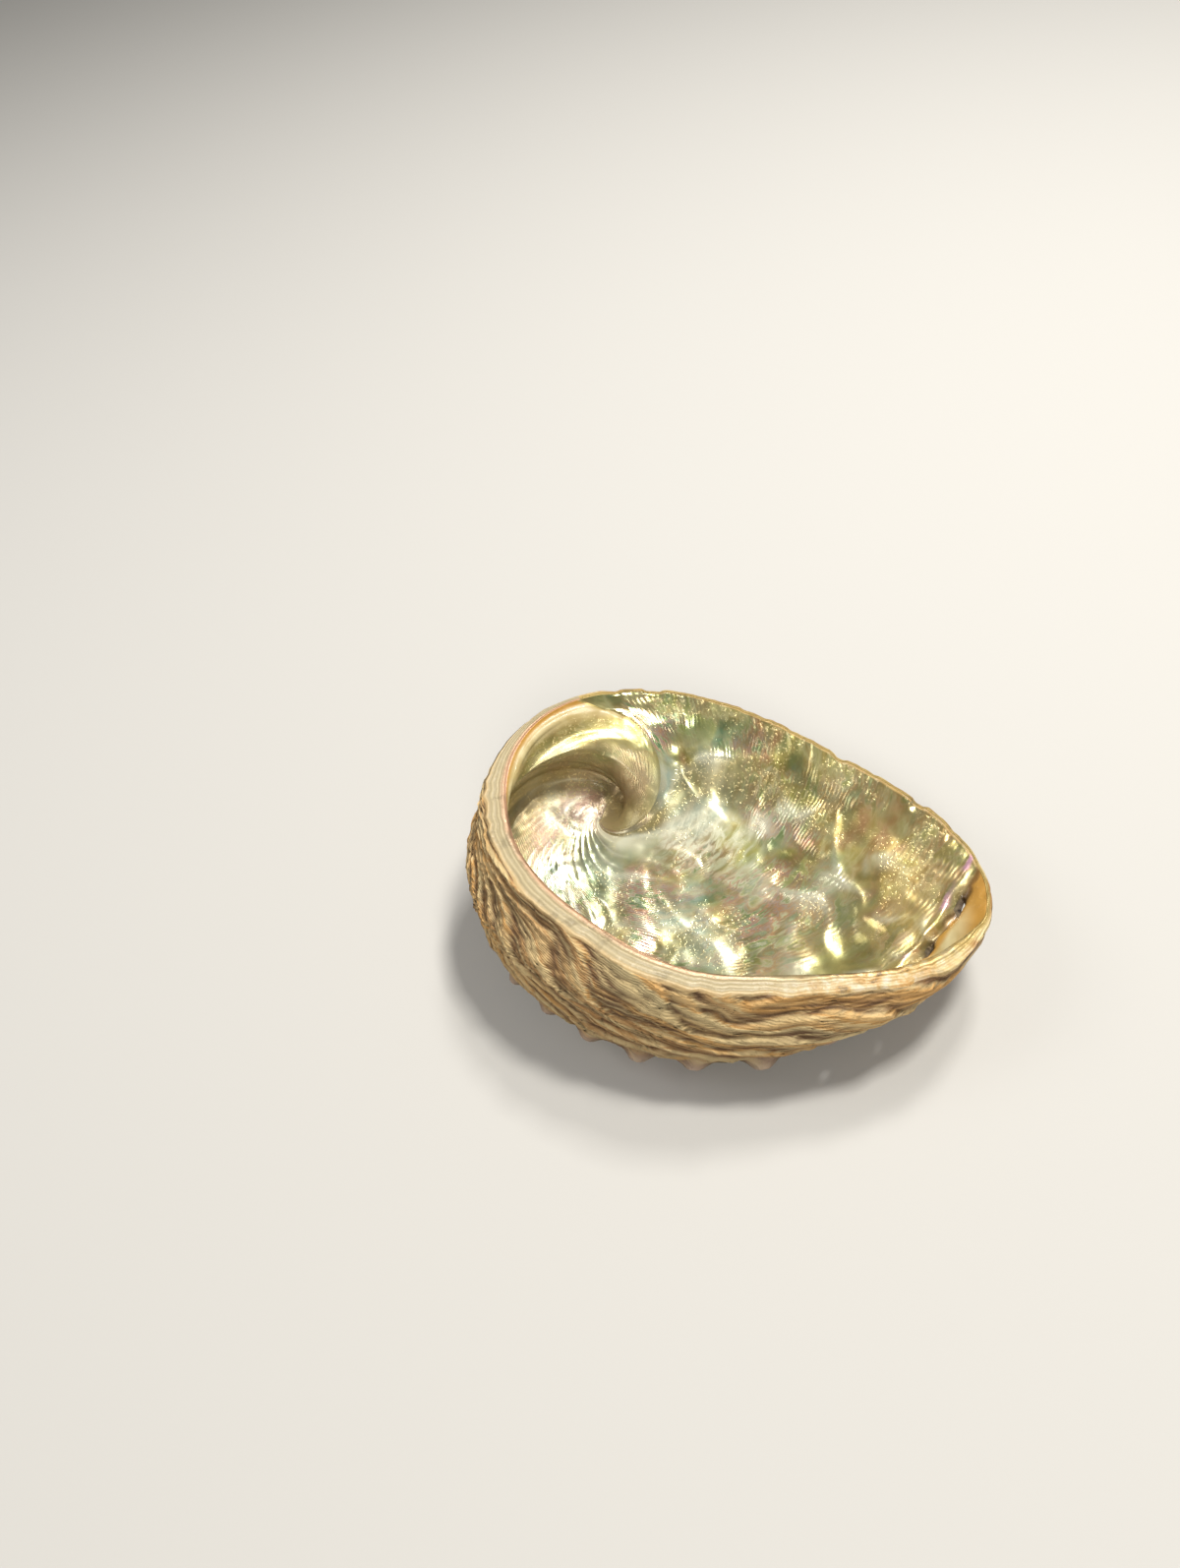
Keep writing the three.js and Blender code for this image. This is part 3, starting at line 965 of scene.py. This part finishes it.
class NacreMasks:
    """Where things are on the nacre: what its colours and its gloss share."""

    def __init__(self, n, lines, patches):
        self.place = place = n.place()
        self.u, self.turn = u, turn = n.growth()
        self.gap = n.attribute("row_gap")
        self.broad = n.noise(place, 62, 2, 0.5, 0.6)
        self.middle = n.noise(place, 130, 2, 0.5, 0.8)
        self.bands = n.group(lines, Count=1.5, Wander=3.0, Along=19.0)
        # strokes run from the lip to the spire, and blur where they crowd there
        self.strokes = n.span(n.noise(n.along_growth(46.0, 9.0), 1.0, 3, 0.6, 0.6), 0.36, 0.64)
        self.recent = n.span(turn, 1.9, 1.0)
        self.even_strokes = n.blend_numbers(self.recent, 0.7, self.strokes)
        self.streaky = n.group(patches, Scale=75.0, Level=0.52, Softness=0.10, Shift=5.0)
        self.frost = n.group(patches, Scale=95.0, Level=0.54, Softness=0.08, Shift=7.0)
        self.near_wall = n.times(n.span(u, 0.60, 0.84), n.span(turn, 0.25, 0.6))
        # bands along old lips, where turn times u is the same
        lip_distance = n.times(turn, u)
        off_band = n.math("ABSOLUTE", n.math("SUBTRACT", lip_distance, 0.125))
        self.old_band = n.times(n.span(off_band, 0.075, 0.015), n.span(u, 0.75, 0.5))
        # painted highlight: a silver-white band across the old lips, towards the suture
        self.highlight_band = n.times(
            n.span(lip_distance, 0.17, 0.22), n.span(lip_distance, 0.50, 0.30), n.span(u, 0.55, 0.32))
        grain = n.span(n.noise(place, 1900, 1, 0.5), 0.57, 0.68)
        frosted = n.line(self.frost, 0.8, 0.04)
        self.sparkle = n.times(grain, n.most(n.times(self.old_band, 0.7), frosted))
        self.border = n.times(n.span(turn, 0.010, 0.002), n.span(u, 0.04, 0.1))
        self.fold = n.times(n.span(self.gap, -1.6, 0.4), n.span(turn, 0.62, 0.42))
        self.funnel = n.attribute("cup")


def nacre_ground(n, at, patches):
    """Olive, straw and champagne clouds, with patches of green, pink and cold silver."""
    shade = n.line(at.middle, 0.45, n.line(at.strokes, 0.10, at.broad))
    colour = n.ramp(n.math("SUBTRACT", shade, 0.275), [
        (0.35, OLIVE), (0.43, TAN), (0.50, CHAMPAGNE), (0.57, STRAW), (0.68, OLIVE),
    ])
    green = n.group(patches, Scale=52.0, Level=0.54, Softness=0.11, Shift=9.0)
    pink = n.group(patches, Scale=66.0, Level=0.56, Softness=0.10, Shift=13.0)
    cold = n.group(patches, Scale=60.0, Level=0.53, Softness=0.10, Shift=3.0)
    deep = n.span(n.line(at.u, -0.5, at.turn), -0.15, 0.75)
    fan = n.line(at.strokes, 0.7, n.times(at.middle, 3.2))
    rays = n.ramp(n.math("PINGPONG", fan, 1.0), [
        (0.0, LILAC), (0.22, PINK), (0.42, SILVER), (0.62, PALE_GREEN), (0.82, TEAL), (1.0, SILVER),
    ])
    return n.layers(
        colour,
        (green, 0.75, n.blend(n.span(at.middle, 0.40, 0.60), TEAL, PALE_GREEN)),
        (pink, 0.55, n.blend(at.bands, PINK, TAN)),
        (n.times(cold, deep), 0.7, n.blend(at.bands, SKY, SILVER)),
        (at.streaky, n.line(deep, 0.35, 0.38), rays))


def nacre_regions(n, at, colour):
    """The spire, the foot of the wall, old lips, the head, a band of painted highlight, and the net:
    painted shade in its valleys and painted highlight on its ridges.
    """
    spire = n.blend(n.span(at.broad, 0.40, 0.60), SPIRE_GREEN, SPIRE_PINK)
    dark_strokes = n.times(at.streaky, at.recent, n.span(at.strokes, 0.40, 0.0))
    towards_head = n.times(n.span(at.u, 0.50, 0.78), n.span(at.turn, 0.75, 0.30))
    crest = n.attribute("crest")
    valley_shade = n.times(n.span(crest, 0.30, 0.05), n.span(at.u, 1.0, 0.9))
    return n.layers(
        colour,
        (n.span(at.turn, 1.1, 2.0), 0.6, spire),
        (at.near_wall, 0.55, n.blend(at.middle, OLIVE, DULL_GOLD)),
        (dark_strokes, 0.55, n.blend(at.middle, TEAL, OLIVE)),
        (at.old_band, 0.65, BAND_BROWN),
        (towards_head, 0.5, n.blend(at.bands, HEAD_BROWN, TAN)),
        # the painted highlight band, laid on in strokes
        (at.highlight_band, n.times(at.even_strokes, 0.75), SILVER),
        # painted shade in the net's valleys, then painted highlight on its ridges
        (valley_shade, 0.40, n.blend(at.bands, VALLEY_SHADE_BROWN, VALLEY_SHADE_GREEN)),
        (n.span(crest, 0.45, 0.95), 0.6, SILVER),
        (at.sparkle, 0.6, SPARKLE_GOLD))


def nacre_edges(n, at, colour):
    """The lip's border, the fold between the row of holes and the rim, the channel itself with its
    amber partly painted shade, painted shade round the open holes, and a painted pink highlight
    beside the channel.
    """
    dull = n.blend(n.span(at.middle, 0.35, 0.65), FOLD_DULL, FOLD_PALE)
    past_channel = n.times(n.span(at.gap, 2.2, 4.5), n.span(at.turn, 0.03, 0.15))
    near_row = n.span(at.turn, 0.9, 0.5)
    wavy_gap = n.line(n.noise(at.place, 190, 2, 0.5), 5.0, n.math("SUBTRACT", at.gap, 2.5))
    # the channel: its own amber, darkened as painted shade
    channel = n.times(n.span(n.math("ABSOLUTE", wavy_gap), 1.5, 0.2), near_row)
    # painted highlight: pink along the raised edge beside the channel, broken into short pieces
    beside = n.math("ABSOLUTE", n.math("ADD", wavy_gap, 3.4))
    broken = n.span(n.noise(at.place, 120, 1, 0.5), 0.46, 0.60)
    return n.layers(
        colour,
        (at.border, 0.75, n.blend(at.middle, OCHRE, CREAM)),
        (at.fold, 0.9, n.blend(past_channel, FOLD_AMBER, dull)),
        (channel, 0.75, AMBER_WITH_SHADE),
        # painted shade round the open holes
        (at.funnel, 0.9, HOLE_SHADE_BROWN),
        (n.times(n.span(beside, 1.6, 0.3), near_row, broken), 0.75, HIGHLIGHT_PINK))


def nacre_material(lines, patches):
    """Mother of pearl: colours that drift with the growth and the net of ridges, with painted
    highlights on the ridges and in a band, and painted shade in the valleys; half metallic, glossy,
    and frosted in patches."""
    material, n, shader = start_material("nacre")
    at = NacreMasks(n, lines, patches)
    colour = nacre_edges(n, at, nacre_regions(n, at, nacre_ground(n, at, patches)))
    n.feed(shader["Base Color"], colour)
    # less metallic under the painted highlight band, so its white shows
    highlight_share = n.times(at.highlight_band, n.line(at.even_strokes, 0.42, 0.10))
    dull = n.most(at.fold, at.funnel, at.border, highlight_share)
    n.feed(shader["Metallic"], n.times(n.math("SUBTRACT", 1.0, dull), 0.62))
    matt = n.most(at.old_band, at.near_wall, n.span(at.u, 0.74, 0.90))
    roughness = n.line(matt, 0.14, n.line(at.middle, 0.14, 0.13))
    n.feed(shader["Roughness"], n.line(at.frost, 0.14, roughness))
    shader["Coat Weight"].default_value = 0.25
    shader["Coat Roughness"].default_value = 0.12
    hair = n.group(lines, Count=4.0, Wander=4.5, Along=105.0)
    hammered = n.bump(n.noise(at.place, 170, 1, 0.5, 0.5), 0.0012, 0.6)
    streaked = n.bump(n.times(hair, at.streaky), 0.00006, 0.6, hammered)
    grainy = n.times(at.sparkle, n.noise(at.place, 1200, 2, 0.6))
    n.feed(shader["Normal"], n.bump(grainy, 0.00012, 0.7, streaked))
    return material


def crust_material(lines, patches):
    """Outside: chalky, cream on the crests and painted shade in the gaps, with red patches on the
    roof, and worn through to pearl at the spire; also painted shade on the wall near the keel and in
    the tubes' cups."""
    material, n, shader = start_material("crust")
    place = n.place()
    turn = n.growth()[1]
    gap = n.attribute("row_gap")
    middle = n.noise(place, 170, 4, 0.6, 0.6)
    fine = n.noise(place, 900, 4, 0.65)
    wall = n.span(gap, -1.0, 3.0)
    roof = n.math("SUBTRACT", 1.0, wall)

    roof_colour = n.blend(n.span(n.noise(place, 60, 3, 0.55), 0.38, 0.62), GREY_OLIVE, CREAM)
    ochre_band = n.group(lines, Count=2.1, Wander=1.2, Along=0.0)
    roof_colour = n.layers(roof_colour, (n.span(ochre_band, 0.55, 0.95), 0.55, OCHRE))
    shade = n.line(n.attribute("tone"), 0.85, n.times(middle, 0.15))
    wall_colour = n.ramp(shade, [
        (0.0, GREY_OLIVE), (0.22, CREAM), (0.40, OCHRE), (0.56, CREAM), (0.72, RUST_OCHRE),
        (0.88, CREAM),
    ])
    # painted shade: the wall darkens near the row of tubes, further back in growth
    keel_shade = n.times(n.span(gap, 26.0, 4.0), n.span(turn, 0.25, 0.6))
    wall_colour = n.layers(wall_colour, (keel_shade, 0.55, KEEL_SHADE_BROWN))
    colour = n.blend(wall, roof_colour, wall_colour)

    # crest is low in the gaps between plates and cords, where dark brown is painted as shade
    crest = n.span(n.line(middle, 0.5, n.attribute("crest")), 0.30, 1.0)
    red = n.group(patches, Scale=70.0, Level=0.57, Softness=0.05, Shift=1.0)
    pores = n.span(n.noise(place, 1500, 2, 0.6), 0.62, 0.72)
    colour = n.layers(
        n.blend(crest, n.blend(wall, ROOF_GAP_SHADE, WALL_GAP_SHADE), colour),
        (n.times(red, roof), 0.55, n.blend(fine, BRICK, ROSE)),
        (n.attribute("collar"), 0.55, n.blend(middle, ROSE, CHALK)),
        # painted shade in the tubes' cups
        (n.attribute("cup"), 0.6, UMBER),
        (pores, 0.3, UMBER))

    ragged_size = n.line(n.noise(place, 110, 4, 0.6), 0.5, n.attribute("size"))
    worn = n.times(n.span(ragged_size, 0.60, 0.40), 0.8)
    swirl = n.times(n.noise(place, 120, 3, 0.6, 1.0), 4.0)
    pearl = n.ramp(n.math("PINGPONG", swirl, 1.0), [
        (0.0, WORN_GREY), (0.3, SKY), (0.5, WORN_BLUE), (0.75, SILVER), (1.0, LILAC),
    ])
    n.feed(shader["Base Color"], n.blend(worn, colour, pearl))
    n.feed(shader["Metallic"], n.times(worn, 0.6))
    chalky = n.line(fine, 0.3, 0.52)
    n.feed(shader["Roughness"], n.math("SUBTRACT", chalky, n.times(worn, 0.36)))
    thin = n.group(lines, Count=60.0, Wander=6.0, Along=30.0)
    coarse = n.bump(n.line(thin, 0.22, middle), 0.0005, 0.8)
    n.feed(shader["Normal"], n.bump(fine, 0.00035, 0.8, coarse))
    return material


def rim_material(patches):
    """The cut edge: tan at the thin lip, and lined pale shell on the broad shelf, pink along its
    inner edge and crusted at the head."""
    material, n, shader = start_material("rim")
    place = n.place()
    u = n.growth()[0]
    across = n.attribute("across")
    middle = n.noise(place, 140, 4, 0.6, 0.5)
    fine = n.noise(place, 1100, 3, 0.65)
    shelf = n.span(u, 0.99, 1.16)

    wander = n.times(n.noise(place, 60, 2, 0.5), 9.0)
    lines = n.math("SINE", n.line(across, 26.0, wander))
    pink = n.times(n.span(across, 0.62, 0.97), n.span(u, 1.2, 1.42))
    crusty = n.ramp(n.noise(place, 420, 4, 0.65), [
        (0.34, UMBER), (0.43, OCHRE), (0.52, CREAM), (0.66, CHALK),
    ])
    shelf_colour = n.layers(
        n.blend(n.line(lines, 0.24, 0.50), SHELF_DARK, SHELF_PALE),
        (pink, 0.7, SHELF_PINK),
        (n.span(across, 0.28, 0.02), 0.6, n.blend(middle, OCHRE, CREAM)),
        (n.span(u, 1.30, 1.10), 0.8, crusty))

    inside = n.span(across, 0.3, 0.6)
    lip_crust = n.blend(n.span(middle, 0.4, 0.62), LIP_BROWN, LIP_CREAM)
    spots = n.group(patches, Scale=260.0, Level=0.60, Softness=0.05, Shift=2.0)
    n.feed(shader["Base Color"], n.layers(
        n.blend(shelf, n.blend(inside, lip_crust, TAN), shelf_colour),
        (spots, 0.4, n.blend(fine, UMBER, GREY_OLIVE))))
    pearly = n.blend_numbers(shelf, inside, n.span(across, 0.5, 0.9))
    n.feed(shader["Metallic"], n.times(pearly, 0.3))
    n.feed(shader["Roughness"], n.line(fine, 0.22, 0.30))
    coarse = n.bump(n.line(lines, 0.3, middle), 0.0004, 0.6)
    n.feed(shader["Normal"], n.bump(fine, 0.0002, 0.7, coarse))
    return material


def make_materials():
    """The three finishes, in the order of CRUST, NACRE and RIM."""
    lines, patches = growth_lines_group(), patches_group()
    return [crust_material(lines, patches), nacre_material(lines, patches), rim_material(patches)]


# ---- stage and camera

CAMERA_PLACE = np.array([72.2, -122.7, 150.0])  # in the rim's frame, millimetres
CAMERA_BEARING = 42 * DEG  # of the view's right side, from +X to +Y
CAMERA_GROUND = np.array([-0.02815, 0.99247, 1.0])  # straight down, as right, down and ahead
CAMERA_LENS = 27.1
CAMERA_CLIP = 0.005
FLOOR_GREY = tint(190, 188, 184)
FLOOR_ROUGHNESS = 0.85
FLOOR_SIZE = 6
STUDIO_WHITE = (1.0, 0.99, 0.96, 1)
STUDIO_LEVEL = 0.22

# Each lamp's place and size in metres, power in watts, and colour.
LAMPS = {
    "key": ((0.10, 0.27, 0.70), 0.14, 4.7, (1.0, 0.97, 0.91)),
    "back": ((-0.13, 0.45, 0.63), 0.13, 3.0, (1.0, 0.98, 0.94)),
    "side": ((-0.45, -0.30, 0.45), 0.30, 1.0, (1.0, 1.0, 1.0)),
    "front": ((0.42, -0.42, 0.50), 0.22, 2.0, (1.0, 0.97, 0.92)),
}


def camera_turn():
    """Columns: the camera's right, up and backward directions, from where straight down lies in the
    view and from the view's bearing."""
    down = unit(CAMERA_GROUND)
    right = unit(np.array([1.0, 0, 0]) - down[0] * down)
    away = np.cross(right, down)
    away *= np.sign(away[2])
    view = np.stack([right, away, -down])
    c, s = cos(CAMERA_BEARING), sin(CAMERA_BEARING)
    axes = np.array([[c, -s, 0], [s, c, 0], [0, 0, 1]]) @ view
    return axes * (1, -1, -1)


def add_object(name, data):
    """A new object in the scene."""
    thing = bpy.data.objects.new(name, data)
    bpy.context.collection.objects.link(thing)
    return thing


def make_camera():
    """The camera, laid down together with the shell."""
    data = bpy.data.cameras.new("camera")
    data.lens = CAMERA_LENS
    data.clip_start = CAMERA_CLIP
    camera = add_object("camera", data)
    matrix = Matrix((LAY_DOWN @ camera_turn()).tolist()).to_4x4()
    matrix.translation = Vector((LAY_DOWN @ CAMERA_PLACE + RIM_ORIGIN_ON_GROUND) * MM)
    camera.matrix_world = matrix
    bpy.context.scene.camera = camera


def make_lamp(name, place, size, power, colour):
    """A soft square lamp that points at the shell."""
    data = bpy.data.lights.new(name, "AREA")
    data.size, data.energy, data.color = size, power, colour
    lamp = add_object(name, data)
    lamp.location = place
    lamp.rotation_euler = (-Vector(place)).to_track_quat("-Z", "Y").to_euler()


def make_stage():
    """A pale floor, a dim even studio and the lamps."""
    bpy.ops.mesh.primitive_plane_add(size=FLOOR_SIZE)
    floor = bpy.context.object
    floor.name = "floor"
    material, _, shader = start_material("floor")
    shader["Base Color"].default_value = FLOOR_GREY
    shader["Roughness"].default_value = FLOOR_ROUGHNESS
    floor.data.materials.append(material)
    world = bpy.data.worlds.new("studio")
    world.use_nodes = True
    background = world.node_tree.nodes["Background"].inputs
    background["Color"].default_value = STUDIO_WHITE
    background["Strength"].default_value = STUDIO_LEVEL
    bpy.context.scene.world = world
    bpy.context.scene.view_settings.view_transform = "Standard"
    for name, values in LAMPS.items():
        make_lamp(name, *values)


def main():
    """The shell with its finishes, then the stage and the camera."""
    mesh = build_mesh(make_body(), "shell_surface")
    shell = add_object("shell_surface", mesh)
    for material in make_materials():
        mesh.materials.append(material)
    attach(shell, "root")
    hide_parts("shell")
    make_stage()
    make_camera()


main()
